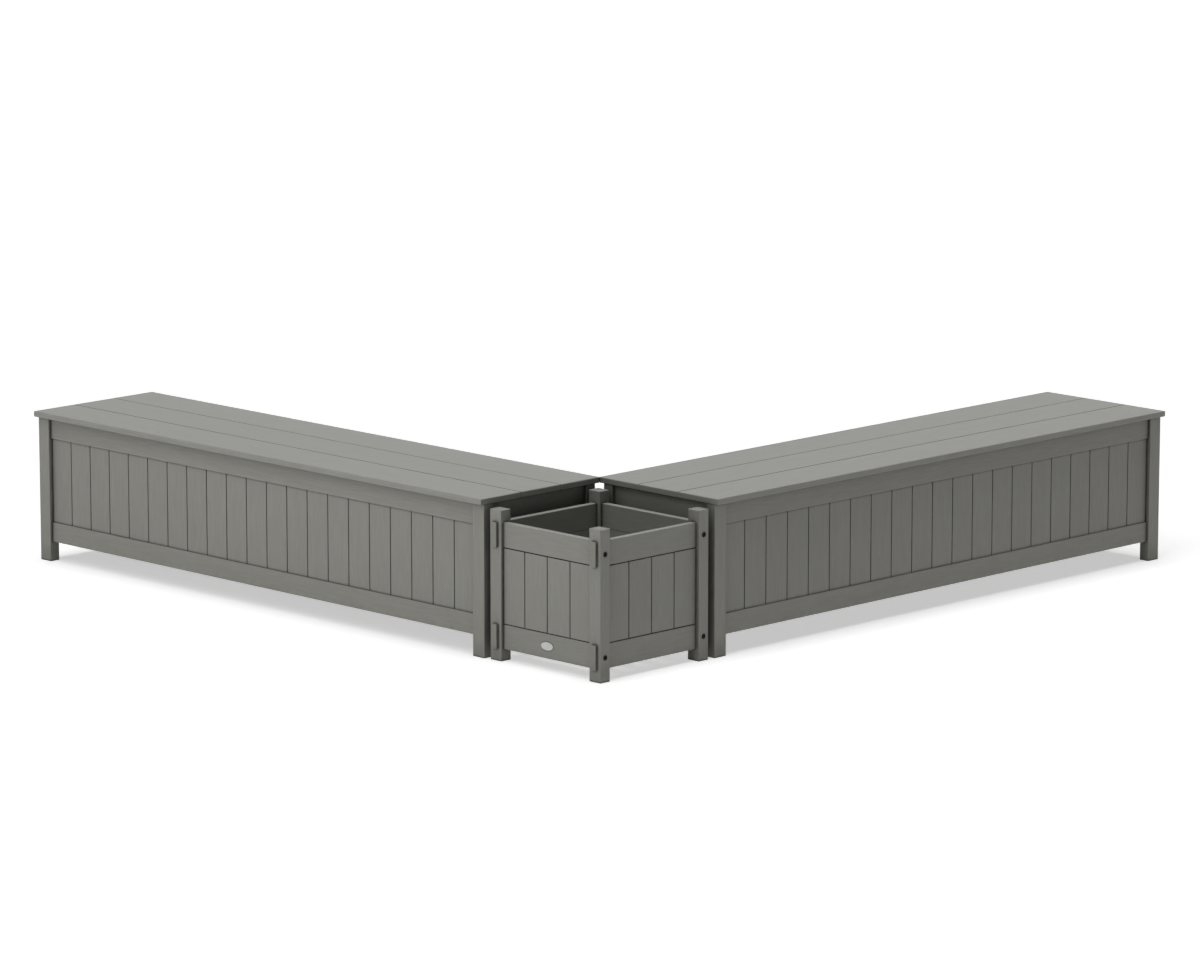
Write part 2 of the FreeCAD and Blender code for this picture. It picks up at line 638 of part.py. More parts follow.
# Planter parts
def planter_post(label, mirrored):
    """A post pierced by the through tenons and bolts, with housings for the cross rails."""
    post = new_body(label)
    blank = block(post, "Additive", "Blank", ("post_width", "post_depth", "planter_height"))
    round_edges(post, blank, "post_round")

    def across(start, size):
        return f"post_width - ({start}) - ({size})" if mirrored else start

    mortise_width = "(rail_thickness + 2 * clearance)"
    mortise_height = "(planter_rail_height + 2 * clearance)"
    housing_depth = "(stub_length + clearance + overcut)"
    head_heading = "left" if mirrored else "right"
    for level, base in (("Upper", PLANTER_UPPER_BASE), ("Lower", "planter_floor_gap")):
        mortise_base = f"{base} - clearance"
        block(post, "Subtractive", level + "ThroughMortise",
              (mortise_width, "post_depth + 2 * overcut", mortise_height),
              (f"{POST_WALL_X} - clearance", "-overcut", mortise_base))
        block(post, "Subtractive", level + "Housing", (housing_depth, mortise_width, mortise_height),
              (across("post_width - stub_length - clearance", housing_depth),
               f"{POST_WALL_Y} - clearance", mortise_base))
        bolt_spot = (across("0", "0"), "post_depth / 2", f"{base} + planter_rail_height / 2")
        rod(post, "Subtractive", level + "BoltHole", f"{BOLT_RADIUS} + clearance", "post_width",
            bolt_spot, head_heading)
        rod(post, "Subtractive", level + "Counterbore", "bolt_head_diameter / 2 + clearance",
            "bolt_recess", bolt_spot, head_heading)

    slot_width = "(planter_tongue + 2 * clearance)"
    slot_depth = "(tongue_length + clearance + overcut)"
    slot_base = f"{PLANTER_LOWER_TOP} - groove_depth"
    slot_height = f"({PLANTER_OPENING} + 2 * groove_depth)"
    block(post, "Subtractive", "FrontPanelSlot", (slot_depth, slot_width, slot_height),
          (across("post_width - tongue_length - clearance", slot_depth),
           f"post_depth / 2 - {slot_width} / 2", slot_base))
    block(post, "Subtractive", "SidePanelSlot", (slot_width, slot_depth, slot_height),
          (f"post_width / 2 - {slot_width} / 2", "post_depth - tongue_length - clearance", slot_base))
    return post


def planter_rail(label, length, shoulder, groove_below):
    """A plain rounded board with a groove between its shoulders, the lines where it enters the posts.

    The groove runs on past them by the tongue at the side of the panel.
    """
    rail = new_body(label)
    blank = block(rail, "Additive", "Blank", (length, "rail_thickness", "planter_rail_height"))
    profile = round_edges(rail, blank, "board_round", runs_along_x)
    round_edges(rail, profile, "end_round", lies_across_x)
    groove_start = f"({shoulder} - tongue_length - clearance)"
    groove_base = "-overcut" if groove_below else "planter_rail_height - groove_depth"
    block(rail, "Subtractive", "PlankGroove",
          (f"{length} - 2 * {groove_start}", "planter_tongue + 2 * clearance", "groove_depth + overcut"),
          (groove_start, "(rail_thickness - planter_tongue) / 2 - clearance", groove_base))
    return rail


def tenon_rail(label, groove_below):
    """A rail along Y whose ends pass right through the posts and are crossed by the bolts."""
    rail = planter_rail(label, TENON_RAIL_LENGTH, "tenon_projection + post_depth", groove_below)
    middle = "(tenon_projection + post_depth / 2)"
    for x in (middle, f"{TENON_RAIL_LENGTH} - {middle}"):
        rod(rail, "Subtractive", "BoltHole", f"{BOLT_RADIUS} + clearance", "rail_thickness",
            (x, "0", "planter_rail_height / 2"), "back")
    if not groove_below:
        first_screw = (f"tenon_projection + post_depth + {CLEAT_SCREW_PITCH} / 2", "rail_thickness",
                       "cleat_lift + cleat_height / 2")
        hole = pilot_hole(rail, first_screw, "front", "screw_length - cleat_width + clearance")
        row(rail, "CleatScrewHoles", hole, "X_Axis", CLEAT_SCREW_PITCH, "cleat_screw_count")
    return rail


def cross_rail(label, groove_below):
    """A rail along X housed in the posts, bored at each end for a threaded insert and its bolt."""
    rail = planter_rail(label, CROSS_RAIL_LENGTH, "stub_length", groove_below)
    reach = "(bolt_recess + bolt_length - post_width + stub_length + clearance)"
    for end, heading in (("0", "right"), (CROSS_RAIL_LENGTH, "left")):
        spot = (end, "rail_thickness / 2", "planter_rail_height / 2")
        rod(rail, "Subtractive", "BoltHole", f"{BOLT_RADIUS} + clearance", reach, spot, heading)
        rod(rail, "Subtractive", "InsertHole", "insert_diameter / 2 + clearance",
            "insert_length + clearance", spot, heading)
    return rail


def round_rim(body, head):
    """Round the outer rim of a bolt head."""
    doc.recompute([head])
    fillet = body.newObject("PartDesign::Fillet", "Dome")
    rims = [(edge.BoundBox.XMin, number) for number, edge in enumerate(head.Shape.Edges, start=1)
            if edge.Closed and edge.BoundBox.XLength < edge.BoundBox.YLength / 2]
    fillet.Base = (head, [f"Edge{min(rims)[1]}"])
    bind(fillet, "Radius", "bolt_head_round")


def repeat_at_bolts(body, setting, x, y, turn):
    """Repeat a piece at both rail levels of both posts on one side of the planter."""
    rows = row(body, "PostRows", None, "Y_Axis", "(planter_depth - post_depth)", "2")
    rows.Direction2 = (origin_part(body, "Z_Axis"), [""])
    rows.Occurrences2 = 2
    bind(rows, "Length2", f"{PLANTER_UPPER_BASE} - planter_floor_gap")
    stand(body, setting, x, y, "planter_floor_gap + planter_rail_height / 2", turn)


def four_bolts(name, setting, x, y, turn):
    """The bolts on one side of the planter, two in each post."""
    bolts = new_body(name)
    head = rod(bolts, "Additive", "Head", "bolt_head_diameter / 2", "bolt_head_height",
               ("bolt_recess - bolt_head_height", "0", "0"), "right")
    round_rim(bolts, head)
    rod(bolts, "Additive", "Shank", BOLT_RADIUS, "bolt_length + bolt_head_height / 2",
        ("bolt_recess - bolt_head_height / 2", "0", "0"), "right")
    socket = bolts.newObject("PartDesign::SubtractivePrism", "Socket")
    socket.Polygon = 6
    bind(socket, "Circumradius", "bolt_socket_radius")
    bind(socket, "Height", "bolt_socket_depth + overcut")
    move(socket, ("bolt_recess - bolt_head_height - overcut", "0", "0"), TOWARDS["right"])
    repeat_at_bolts(bolts, setting, x, y, turn)
    return bolts


def four_inserts(name, setting, x, y, turn):
    """The threaded inserts on one side of the planter, in the ends of the cross rails."""
    inserts = new_body(name)
    rod(inserts, "Additive", "Sleeve", "insert_diameter / 2", "insert_length", ("0", "0", "0"), "right")
    rod(inserts, "Subtractive", "Thread", f"{BOLT_RADIUS} + clearance", "insert_length + 2 * overcut",
        ("-overcut", "0", "0"), "right")
    repeat_at_bolts(inserts, setting, x, y, turn)
    return inserts


def planter_floor(setting):
    """Loose slats with drain gaps on two cleats that are screwed to the lower tenon rails."""
    rail_face = f"({POST_WALL_X} + rail_thickness)"
    slats = new_body("planter_floor_slats")
    slat_width = f"(({PLANTER_SPAN_Y} - (slat_count - 1) * slat_gap) / slat_count)"
    slat = block(slats, "Additive", "Slat",
                 (f"planter_width - 2 * {rail_face} - 2 * slat_end_gap", slat_width, "slat_thickness"))
    row(slats, "SlatRow", slat, "Y_Axis", f"({slat_width} + slat_gap)", "slat_count")
    stand(slats, setting, f"{rail_face} + slat_end_gap", "post_depth", f"{CLEAT_BASE} + cleat_height")
    keep(slats)

    first_screw = (f"{CLEAT_SCREW_PITCH} / 2", "cleat_width", "cleat_height / 2")
    cleats = []
    screws = []
    sides = ((rail_face, "planter_depth - post_depth", -90),
             (f"planter_width - {rail_face}", "post_depth", 90))
    for x, y, turn in sides:
        cleat = new_body("Cleat")
        block(cleat, "Additive", "Strip", (PLANTER_SPAN_Y, "cleat_width", "cleat_height"))
        sink = countersink(cleat, first_screw, "front")
        row(cleat, "Countersinks", sink, "X_Axis", CLEAT_SCREW_PITCH, "cleat_screw_count")
        hole = pilot_hole(cleat, first_screw, "front", "cleat_width")
        row(cleat, "ScrewHoles", hole, "X_Axis", CLEAT_SCREW_PITCH, "cleat_screw_count")
        stand(cleat, setting, x, y, CLEAT_BASE, turn)
        cleats.append(cleat)
        cleat_screws = new_body("CleatScrews")
        screw(cleat_screws, first_screw, "front")
        row(cleat_screws, "ScrewRow", None, "X_Axis", CLEAT_SCREW_PITCH, "cleat_screw_count")
        stand(cleat_screws, setting, x, y, CLEAT_BASE, turn)
        screws.append(cleat_screws)
    group("planter_floor_cleats", cleats)
    group("planter_floor_screws", screws)


def oval(name, long_axis, short_axis, thickness):
    ellipse = doc.addObject("Part::Ellipse", name + "Outline")
    bind(ellipse, "MajorRadius", f"({long_axis}) / 2")
    bind(ellipse, "MinorRadius", f"({short_axis}) / 2")
    plate = doc.addObject("Part::Extrusion", name)
    plate.Base = ellipse
    plate.Dir = AXIS_Z
    plate.Solid = True
    bind(plate, "LengthFwd", thickness)
    return plate


def badge(setting):
    """A blank oval plate with a raised rim, flat on the front lower rail."""
    plate = oval("Plate", "badge_length", "badge_height", "badge_thickness")
    field = oval("Field", "badge_length - 2 * badge_rim", "badge_height - 2 * badge_rim",
                 "badge_rim_height + overcut")
    bind(field, "Placement.Base.z", "badge_thickness - badge_rim_height")
    oval_plate = doc.addObject("Part::Cut", "planter_badge")
    oval_plate.Label = "planter_badge"
    oval_plate.Base = plate
    oval_plate.Tool = field
    spot = (f"{setting.x} + planter_width / 2", f"{setting.y} + {POST_WALL_Y}",
            "planter_floor_gap + planter_rail_height / 2")
    move(oval_plate, spot, TOWARDS["front"])
    keep(oval_plate)


def make_planter(setting):
    """The square planter; left and right are seen from its front."""
    post_places = (
        ("left_front", False, "0", "0", 0),
        ("right_front", True, "planter_width - post_width", "0", 0),
        ("left_back", True, "post_width", "planter_depth", 180),
        ("right_back", False, "planter_width", "planter_depth", 180),
    )
    for place, mirrored, x, y, turn in post_places:
        post = planter_post(f"planter_post_{place}", mirrored)
        stand(post, setting, x, y, "0", turn)
        keep(post)

    levels = (("upper", PLANTER_UPPER_BASE, True), ("lower", "planter_floor_gap", False))
    tenon_places = (
        ("left", POST_WALL_X, "planter_depth + tenon_projection", -90),
        ("right", f"planter_width - {POST_WALL_X}", "-tenon_projection", 90),
    )
    cross_start = "(post_width - stub_length)"
    cross_places = (
        ("front", cross_start, POST_WALL_Y, 0),
        ("back", f"planter_width - {cross_start}", f"planter_depth - {POST_WALL_Y}", 180),
    )
    for level, base, groove_below in levels:
        for place, x, y, turn in tenon_places:
            rail = tenon_rail(f"planter_{level}_tenon_rail_{place}", groove_below)
            stand(rail, setting, x, y, base, turn)
            keep(rail)
        for place, x, y, turn in cross_places:
            rail = cross_rail(f"planter_{level}_cross_rail_{place}", groove_below)
            stand(rail, setting, x, y, base, turn)
            keep(rail)

    panel_base = f"{PLANTER_LOWER_TOP} - groove_depth + clearance"
    panel_places = (
        ("front", PLANTER_SPAN_X, "post_width", POST_WALL_Y, 0),
        ("back", PLANTER_SPAN_X, "planter_width - post_width", f"planter_depth - {POST_WALL_Y}", 180),
        ("left", PLANTER_SPAN_Y, POST_WALL_X, "planter_depth - post_depth", -90),
        ("right", PLANTER_SPAN_Y, f"planter_width - {POST_WALL_X}", "post_depth", 90),
    )
    for place, width, x, y, turn in panel_places:
        panel = planter_panel(f"planter_planks_{place}", width)
        stand(panel, setting, x, y, panel_base, turn)
        keep(panel)

    front_row = "post_depth / 2"
    back_row = "planter_depth - post_depth / 2"
    group("planter_bolts", [
        four_bolts("LeftBolts", setting, "0", front_row, 0),
        four_bolts("RightBolts", setting, "planter_width", back_row, 180),
    ])
    group("planter_threaded_inserts", [
        four_inserts("LeftInserts", setting, cross_start, front_row, 0),
        four_inserts("RightInserts", setting, f"planter_width - {cross_start}", back_row, 180),
    ])
    planter_floor(setting)
    badge(setting)


def check_model():
    """Stop if any object failed to compute or any sub-part has no sound shape."""
    for item in doc.Objects:
        if "Invalid" in item.State or "Error" in item.State:
            raise RuntimeError(f"{item.Label} did not compute")
    for item in nodes:
        if item.Shape.isNull() or not item.Shape.isValid() or not item.Shape.Solids:
            raise RuntimeError(f"{item.Label} has no sound shape")


def write_nodes():
    os.makedirs("parts", exist_ok=True)
    for item in nodes:
        item.Shape.exportStep(f"parts/{item.Label}.step")


fill_sheet()
make_bench(FRONT_BENCH)
make_bench(SIDE_BENCH)
make_planter(PLANTER)
doc.recompute()
check_model()
write_nodes()
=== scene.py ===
import math

import bmesh
import bpy
from bpy.props import FloatProperty, FloatVectorProperty, IntProperty, PointerProperty
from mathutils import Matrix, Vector


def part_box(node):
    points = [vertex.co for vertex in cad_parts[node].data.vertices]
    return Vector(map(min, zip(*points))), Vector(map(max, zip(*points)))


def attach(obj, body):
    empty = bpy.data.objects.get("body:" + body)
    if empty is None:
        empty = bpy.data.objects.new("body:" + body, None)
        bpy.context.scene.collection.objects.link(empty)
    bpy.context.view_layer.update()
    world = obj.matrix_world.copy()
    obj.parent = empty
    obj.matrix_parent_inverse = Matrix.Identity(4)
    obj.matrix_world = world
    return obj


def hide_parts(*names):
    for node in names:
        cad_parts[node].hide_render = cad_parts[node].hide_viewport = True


bl_info = {
    "name": "Corner bench and planter set",
    "version": (1, 0, 0),
    "blender": (4, 5, 0),
    "location": "3D View > Sidebar > Bench set",
    "description": "Finishes a packed set of two lumber benches and a planter and sets its studio",
    "category": "Object",
}

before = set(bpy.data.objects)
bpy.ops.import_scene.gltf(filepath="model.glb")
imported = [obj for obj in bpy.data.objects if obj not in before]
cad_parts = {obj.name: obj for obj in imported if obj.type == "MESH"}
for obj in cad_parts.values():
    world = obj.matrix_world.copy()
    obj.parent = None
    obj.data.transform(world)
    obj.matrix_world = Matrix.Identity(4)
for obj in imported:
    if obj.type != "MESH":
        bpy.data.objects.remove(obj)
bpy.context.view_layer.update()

BODY = "root"
AXES = "XYZ"
FLOAT = "NodeSocketFloat"
VECTOR = "NodeSocketVector"

# Board width in metres for a piece that isn't a panel
WHOLE_PIECE = 20.0

# The photograph's width in pixels, the sensor's in millimetres, and the far clip in camera distances
PHOTO_WIDTH = 1200.0
SENSOR_WIDTH = 36.0
FAR_CLIP = 10

# Where the lights come from, how far out their lamps stand, and the panel that lights the floor, in metres
OVERHEAD = Vector((0, 0, 1))
HIGH_IN_FRONT = Vector((0, -0.5, 0.87))
LOW_IN_FRONT = Vector((0, -0.8, 0.6))
LAMP_DISTANCE = 5.0
BOUNCE_PLACE = (-0.3, -3.0, 4.0)
BOUNCE_SIZE = (3.4, 1.8)

# The oval plate's mesh: points round it, steps over its rim, rings of its field as shares of its radius,
# the rim's foot in metres, the straight edge as a share of the thickness, the dome as a share of the rim
PLATE_POINTS = 72
RIM_STEPS = 8
FIELD_RINGS = (0.6, 0.3, 0.1)
RIM_FOOT = 0.0004
STRAIGHT_EDGE = 0.6
FIELD_DOME = 0.35

# Spots of noise in a metre
CLOUDS = 7.0
WEAR_AND_HIGHLIGHT_PATCHES = 35.0
SAW_MARKS = 1400.0
DUST_AND_BOUNCE_PATCHES = 22.0
SEAM_SHADE_PATCHES = 60.0
SEAM_PATCHES = 45.0

# Shares of the grain's height, and how much slower the saw's marks run up a board than across it
STREAK_HEIGHT = 0.6
PEBBLE_HEIGHT = 0.4
SAW_STRETCH = (1.0, 1.0, 0.12)

# Dust on level faces beside the dust and painted bounce light at the floor, painted shade that is left at
# the floor, and a seam's darkest share
LEVEL_DUST = 0.35
FLOOR_SHADE = 0.4
SEAM_CORE = 0.2

# Marks on the lumber: how strong each one is, and how light it is beside the plain lumber; the wear mark is
# partly a painted highlight on the edges, and the shade, seam shade and seam marks are painted shade
STREAK_TONES = (0.93, 1.06)
PEBBLE_MARK = (0.12, 0.8)
CLOUD_MARK = (0.16, 1.25)
TONE_MARK = (0.10, 0.75)
WEAR_AND_HIGHLIGHT_MARK = (0.35, 1.35)
SHADE_MARK = (0.95, 0.12)
SEAM_SHADE_MARK = (0.95, 0.04)
SEAM_MARK = (0.9, 0.12)

# Sawn ends: how strong their tone is, what the saw's marks add, how light it is, and the marks' height
SAWN_STRENGTH = 0.1
SAW_MARK_STRENGTH = 0.3
SAWN_TONE = 0.7
SAW_MARK_HEIGHT = 1.2

# Dust near the floor and on level faces; near the floor its light colour is partly painted bounce light
DUST_AND_BOUNCE_STRENGTH = 0.32
DUST_AND_BOUNCE_COLOUR = (0.42, 0.41, 0.37, 1.0)

# What each effect adds to the lumber's roughness
PEBBLE_ROUGHNESS = 0.16
WEAR_ROUGHNESS = -0.10
SAWN_ROUGHNESS = 0.12
DUST_ROUGHNESS = 0.15

LUMBER_BUMP = {"Strength": 0.35, "Distance": 0.0006}

# Stains on metal: how much larger they are than its marks, how strong, and how much rougher
STAIN_SCALE = 0.12
STAIN_STRENGTH = 0.4
STAIN_ROUGHNESS = 0.18
METAL_BUMP = 0.4


class BenchSetFinish(bpy.types.PropertyGroup):
    """Colours and sizes of the surfaces."""

    lumber_colour: FloatVectorProperty(
        name="Lumber", description="Colour of the plastic lumber", subtype="COLOR",
        size=4, min=0, max=1, default=(0.318, 0.319, 0.292, 1.0))
    lumber_roughness: FloatProperty(
        name="Lumber roughness", description="Gloss of the moulded skin, from shiny to matt",
        default=0.58, min=0, max=1)
    streak_width: FloatProperty(
        name="Streak width", description="Width of the streaks that run along a board",
        default=0.004, min=0.0005, unit="LENGTH")
    streak_length: FloatProperty(
        name="Streak length", description="Length of the streaks that run along a board",
        default=0.07, min=0.001, unit="LENGTH")
    pebble_size: FloatProperty(
        name="Pebble size", description="Size of the fine pebbles in the skin",
        default=0.0014, min=0.0002, unit="LENGTH")
    # Painted highlight: the rubbed edges are lightened, partly as wear and partly as a painted highlight
    # along the edges
    edge_width: FloatProperty(
        name="Edge width", description="How far the rubbed edges reach into the faces",
        default=0.002, min=0.0001, unit="LENGTH")
    # Painted bounce light: the dust near the floor lightens the lower parts, partly as dust and partly as
    # painted light thrown up from the floor
    dust_and_bounce_height: FloatProperty(
        name="Dust and bounce light height", description="How far the dust climbs above the floor",
        default=0.22, min=0.001, unit="LENGTH")
    # Painted shade: how far the ambient-occlusion darkening under overhangs and in inner corners reaches
    shade_reach: FloatProperty(
        name="Shade reach", description="How far the grime below an overhang or in a corner spreads",
        default=0.055, min=0.001, unit="LENGTH")
    # Painted shade: width of the seams and narrow crevices that are darkened
    seam_reach: FloatProperty(
        name="Seam reach", description="Width of the crevices that hold dark dirt",
        default=0.007, min=0.001, unit="LENGTH")
    # Painted shade: the dark line between two seat boards
    seat_seam: FloatProperty(
        name="Seat seam", description="Width of the dark line between two seat boards",
        default=0.0052, min=0.0005, unit="LENGTH")
    bolt_colour: FloatVectorProperty(
        name="Bolt", description="Colour of the blackened bolts", subtype="COLOR",
        size=4, min=0, max=1, default=(0.004, 0.004, 0.0045, 1.0))
    steel_colour: FloatVectorProperty(
        name="Steel", description="Colour of the screws and threaded inserts", subtype="COLOR",
        size=4, min=0, max=1, default=(0.55, 0.55, 0.53, 1.0))
    badge_colour: FloatVectorProperty(
        name="Plate", description="Colour of the blank oval plate", subtype="COLOR",
        size=4, min=0, max=1, default=(0.64, 0.65, 0.64, 1.0))


class BenchSetSizes(bpy.types.PropertyGroup):
    """Sizes of the boards and of the small metal parts."""

    bench_planks: IntProperty(
        name="Long side planks", description="Planks in a long side of a bench", default=21, min=1)
    end_planks: IntProperty(
        name="End planks", description="Planks in an end of a bench", default=4, min=1)
    planter_planks: IntProperty(
        name="Planter planks", description="Planks in a side of the planter", default=4, min=1)
    planter_cover: FloatProperty(
        name="Planter plank", description="Seam to seam of the planter's planks",
        default=0.0846, min=0.001, unit="LENGTH")
    tongue_length: FloatProperty(
        name="Tongue", description="Tongue of a panel in the groove of its leg",
        default=0.004, min=0, unit="LENGTH")
    rim_width: FloatProperty(
        name="Plate rim", description="Width of the raised rim of the oval plate",
        default=0.0016, min=0.0002, unit="LENGTH")
    rim_height: FloatProperty(
        name="Rim height", description="How far the rim stands above the plate's field",
        default=0.0006, min=0.0001, unit="LENGTH")


class BenchSetStage(bpy.types.PropertyGroup):
    """The studio round the set."""

    aim: FloatVectorProperty(
        name="Aim", description="Point that the camera looks at", subtype="XYZ", unit="LENGTH",
        size=3, default=(0.0009, 0.0009, 0.2324))
    distance: FloatProperty(
        name="Distance", description="Camera to its aim", default=17.1661, min=1, unit="LENGTH")
    azimuth: FloatProperty(
        name="Azimuth", description="Camera's turn about the vertical, from the front",
        default=math.radians(45.0082), subtype="ANGLE", unit="ROTATION")
    elevation: FloatProperty(
        name="Elevation", description="Camera's angle above the horizon",
        default=math.radians(10.996), subtype="ANGLE", unit="ROTATION")
    focal_pixels: FloatProperty(
        name="Focal length", description="Focal length in pixels of an image 1200 pixels wide",
        default=6008.8, min=100)
    floor_size: FloatProperty(
        name="Floor", description="Side of the floor", default=60.0, min=5, unit="LENGTH")
    top_level: FloatProperty(
        name="Top light", description="Strength of the light overhead", default=1.47, min=0)
    top_colour: FloatVectorProperty(
        name="Top colour", description="Colour of the light overhead", subtype="COLOR",
        size=3, min=0, max=1, default=(0.989, 1.0, 0.994))
    key_level: FloatProperty(
        name="Key light", description="Strength of the high light in front", default=0.57, min=0)
    front_level: FloatProperty(
        name="Front light", description="Strength of the low light in front", default=0.20, min=0)
    bounce_power: FloatProperty(
        name="Floor bounce", description="Power of the panel that lights the floor in front",
        default=26.0, min=0, subtype="POWER", unit="POWER")
    high_spread: FloatProperty(
        name="High spread", description="Angle over which the top and key lights are spread",
        default=math.radians(30), min=0, subtype="ANGLE", unit="ROTATION")
    front_spread: FloatProperty(
        name="Front spread", description="Angle over which the low front light is spread",
        default=math.radians(40), min=0, subtype="ANGLE", unit="ROTATION")
    bounce_spread: FloatProperty(
        name="Bounce spread", description="Angle over which the bounce panel shines",
        default=math.radians(24), min=0, subtype="ANGLE", unit="ROTATION")
    floor_lift: FloatProperty(
        name="Floor lift", description="Glow of the floor as seen, so that its shadows stay pale",
        default=0.54, min=0, max=1)
    floor_bounce: FloatVectorProperty(
        name="Floor bounce colour", description="Colour of the floor for the light that it throws back",
        subtype="COLOR", size=3, min=0, max=1, default=(0.95, 0.923, 0.908))
    floor_grey: FloatProperty(
        name="Floor colour", description="Grey of the floor as seen", default=0.75, min=0, max=1)


def finish():
    return bpy.context.scene.bench_set_finish


def sizes():
    return bpy.context.scene.bench_set_sizes


def stage():
    return bpy.context.scene.bench_set_stage


# Node trees
class Wiring:
    """Adds nodes to a node tree and joins them."""

    def __init__(self, tree):
        self.tree = tree

    def node(self, kind, inputs=None, **settings):
        """A new node; inputs maps socket names or numbers to plain values or output sockets."""
        made = self.tree.nodes.new(kind)
        for name, value in settings.items():
            setattr(made, name, value)
        for key, value in (inputs or {}).items():
            self.feed(made.inputs[key], value)
        return made

    def feed(self, socket, value):
        if isinstance(value, bpy.types.NodeSocket):
            self.tree.links.new(value, socket)
        else:
            socket.default_value = value

    def math(self, operation, *values, clamp=False):
        made = self.node("ShaderNodeMath", dict(enumerate(values)), operation=operation, use_clamp=clamp)
        return made.outputs[0]

    def vector(self, operation, *values):
        made = self.node("ShaderNodeVectorMath", dict(enumerate(values)), operation=operation)
        return made.outputs["Value" if operation == "DOT_PRODUCT" else "Vector"]

    def ramp(self, value, start, end, at_start=0.0, at_end=1.0):
        """A value that goes smoothly from at_start to at_end while the given one goes from start to end."""
        made = self.node(
            "ShaderNodeMapRange",
            {"Value": value, "From Min": start, "From Max": end, "To Min": at_start, "To Max": at_end},
            interpolation_type="SMOOTHSTEP")
        return made.outputs["Result"]

    def noise(self, place, scale, detail=2.0, roughness=0.5):
        made = self.node(
            "ShaderNodeTexNoise",
            {"Vector": place, "Scale": scale, "Detail": detail, "Roughness": roughness})
        return made.outputs["Fac"]

    def mix(self, factor, first, second):
        """Two colours mixed."""
        made = self.node("ShaderNodeMix", data_type="RGBA")
        for number, value in ((0, factor), (6, first), (7, second)):
            self.feed(made.inputs[number], value)
        return made.outputs[2]

    def group(self, name, inputs):
        made = self.node("ShaderNodeGroup")
        made.node_tree = bpy.data.node_groups[name]
        for key, value in inputs.items():
            self.feed(made.inputs[key], value)
        return made.outputs


def new_group(name, inputs, outputs):
    """An empty shader node group: its wiring, the sockets it is given and the node that it ends in.

    inputs and outputs are pairs of a name and a socket type.
    """
    tree = bpy.data.node_groups.new(name, "ShaderNodeTree")
    for label, kind in inputs:
        tree.interface.new_socket(name=label, in_out="INPUT", socket_type=kind)
    for label, kind in outputs:
        tree.interface.new_socket(name=label, in_out="OUTPUT", socket_type=kind)
    wire = Wiring(tree)
    return wire, wire.node("NodeGroupInput").outputs, wire.node("NodeGroupOutput")


def make_grain_group():
    """Streaks along a board, fine pebbles and slow clouds."""
    wire, given, made = new_group(
        "Lumber grain",
        [("Place", VECTOR), ("Along", VECTOR), ("Streak width", FLOAT), ("Streak length", FLOAT),
         ("Pebble size", FLOAT)],
        [("Streaks", FLOAT), ("Pebbles", FLOAT), ("Clouds", FLOAT), ("Height", FLOAT)])
    across_scale = wire.math("DIVIDE", 1.0, given["Streak width"])
    along_scale = wire.math("DIVIDE", 1.0, given["Streak length"])
    slower = wire.math("SUBTRACT", along_scale, across_scale)
    change = wire.node("ShaderNodeVectorMath", {0: given["Along"], "Scale": slower}, operation="SCALE")
    every = wire.node("ShaderNodeCombineXYZ", {0: across_scale, 1: across_scale, 2: across_scale})
    stretch = wire.vector("ADD", every.outputs[0], change.outputs["Vector"])
    stretched = wire.vector("MULTIPLY", given["Place"], stretch)
    streaks = wire.noise(stretched, 1.0, detail=3.0, roughness=0.6)
    pebble_scale = wire.math("DIVIDE", 1.0, given["Pebble size"])
    pebbles = wire.noise(given["Place"], pebble_scale, detail=1.0)
    clouds = wire.noise(given["Place"], CLOUDS, detail=3.0)
    height = wire.math("ADD", wire.math("MULTIPLY", streaks, STREAK_HEIGHT),
                       wire.math("MULTIPLY", pebbles, PEBBLE_HEIGHT))
    wire.feed(made.inputs["Streaks"], streaks)
    wire.feed(made.inputs["Pebbles"], pebbles)
    wire.feed(made.inputs["Clouds"], clouds)
    wire.feed(made.inputs["Height"], height)


def make_tone_group():
    """A tone of its own for each board, told apart by its place across the panel."""
    wire, given, made = new_group(
        "Board tone",
        [("Across", FLOAT), ("First seam", FLOAT), ("Board width", FLOAT)],
        [("Tone", FLOAT)])
    past_seam = wire.math("SUBTRACT", given["Across"], given["First seam"])
    number = wire.math("FLOOR", wire.math("DIVIDE", past_seam, given["Board width"]))
    piece = wire.node("ShaderNodeObjectInfo").outputs["Random"]
    pair = wire.node("ShaderNodeCombineXYZ", {0: number, 1: piece})
    tone = wire.node("ShaderNodeTexWhiteNoise", {"Vector": pair.outputs[0]}, noise_dimensions="2D")
    wire.feed(made.inputs["Tone"], tone.outputs["Value"])


def make_wear_and_highlight_group():
    """Where edges are rubbed and lightened, partly as wear and partly as a painted highlight, from the
    difference between a rounded and the true normal.
    """
    wire, given, made = new_group(
        "Rubbed and highlit edges",
        [("Place", VECTOR), ("Edge width", FLOAT)],
        [("Wear and highlight", FLOAT)])
    rounded = wire.node("ShaderNodeBevel", {"Radius": given["Edge width"]}, samples=4)
    true_normal = wire.node("ShaderNodeNewGeometry").outputs["True Normal"]
    flatness = wire.vector("DOT_PRODUCT", rounded.outputs["Normal"], true_normal)
    edge = wire.ramp(flatness, 0.995, 0.85)
    spots = wire.noise(given["Place"], WEAR_AND_HIGHLIGHT_PATCHES, detail=4.0, roughness=0.7)
    patches = wire.ramp(spots, 0.35, 0.65, at_start=0.3)
    wire.feed(made.inputs["Wear and highlight"], wire.math("MULTIPLY", edge, patches))


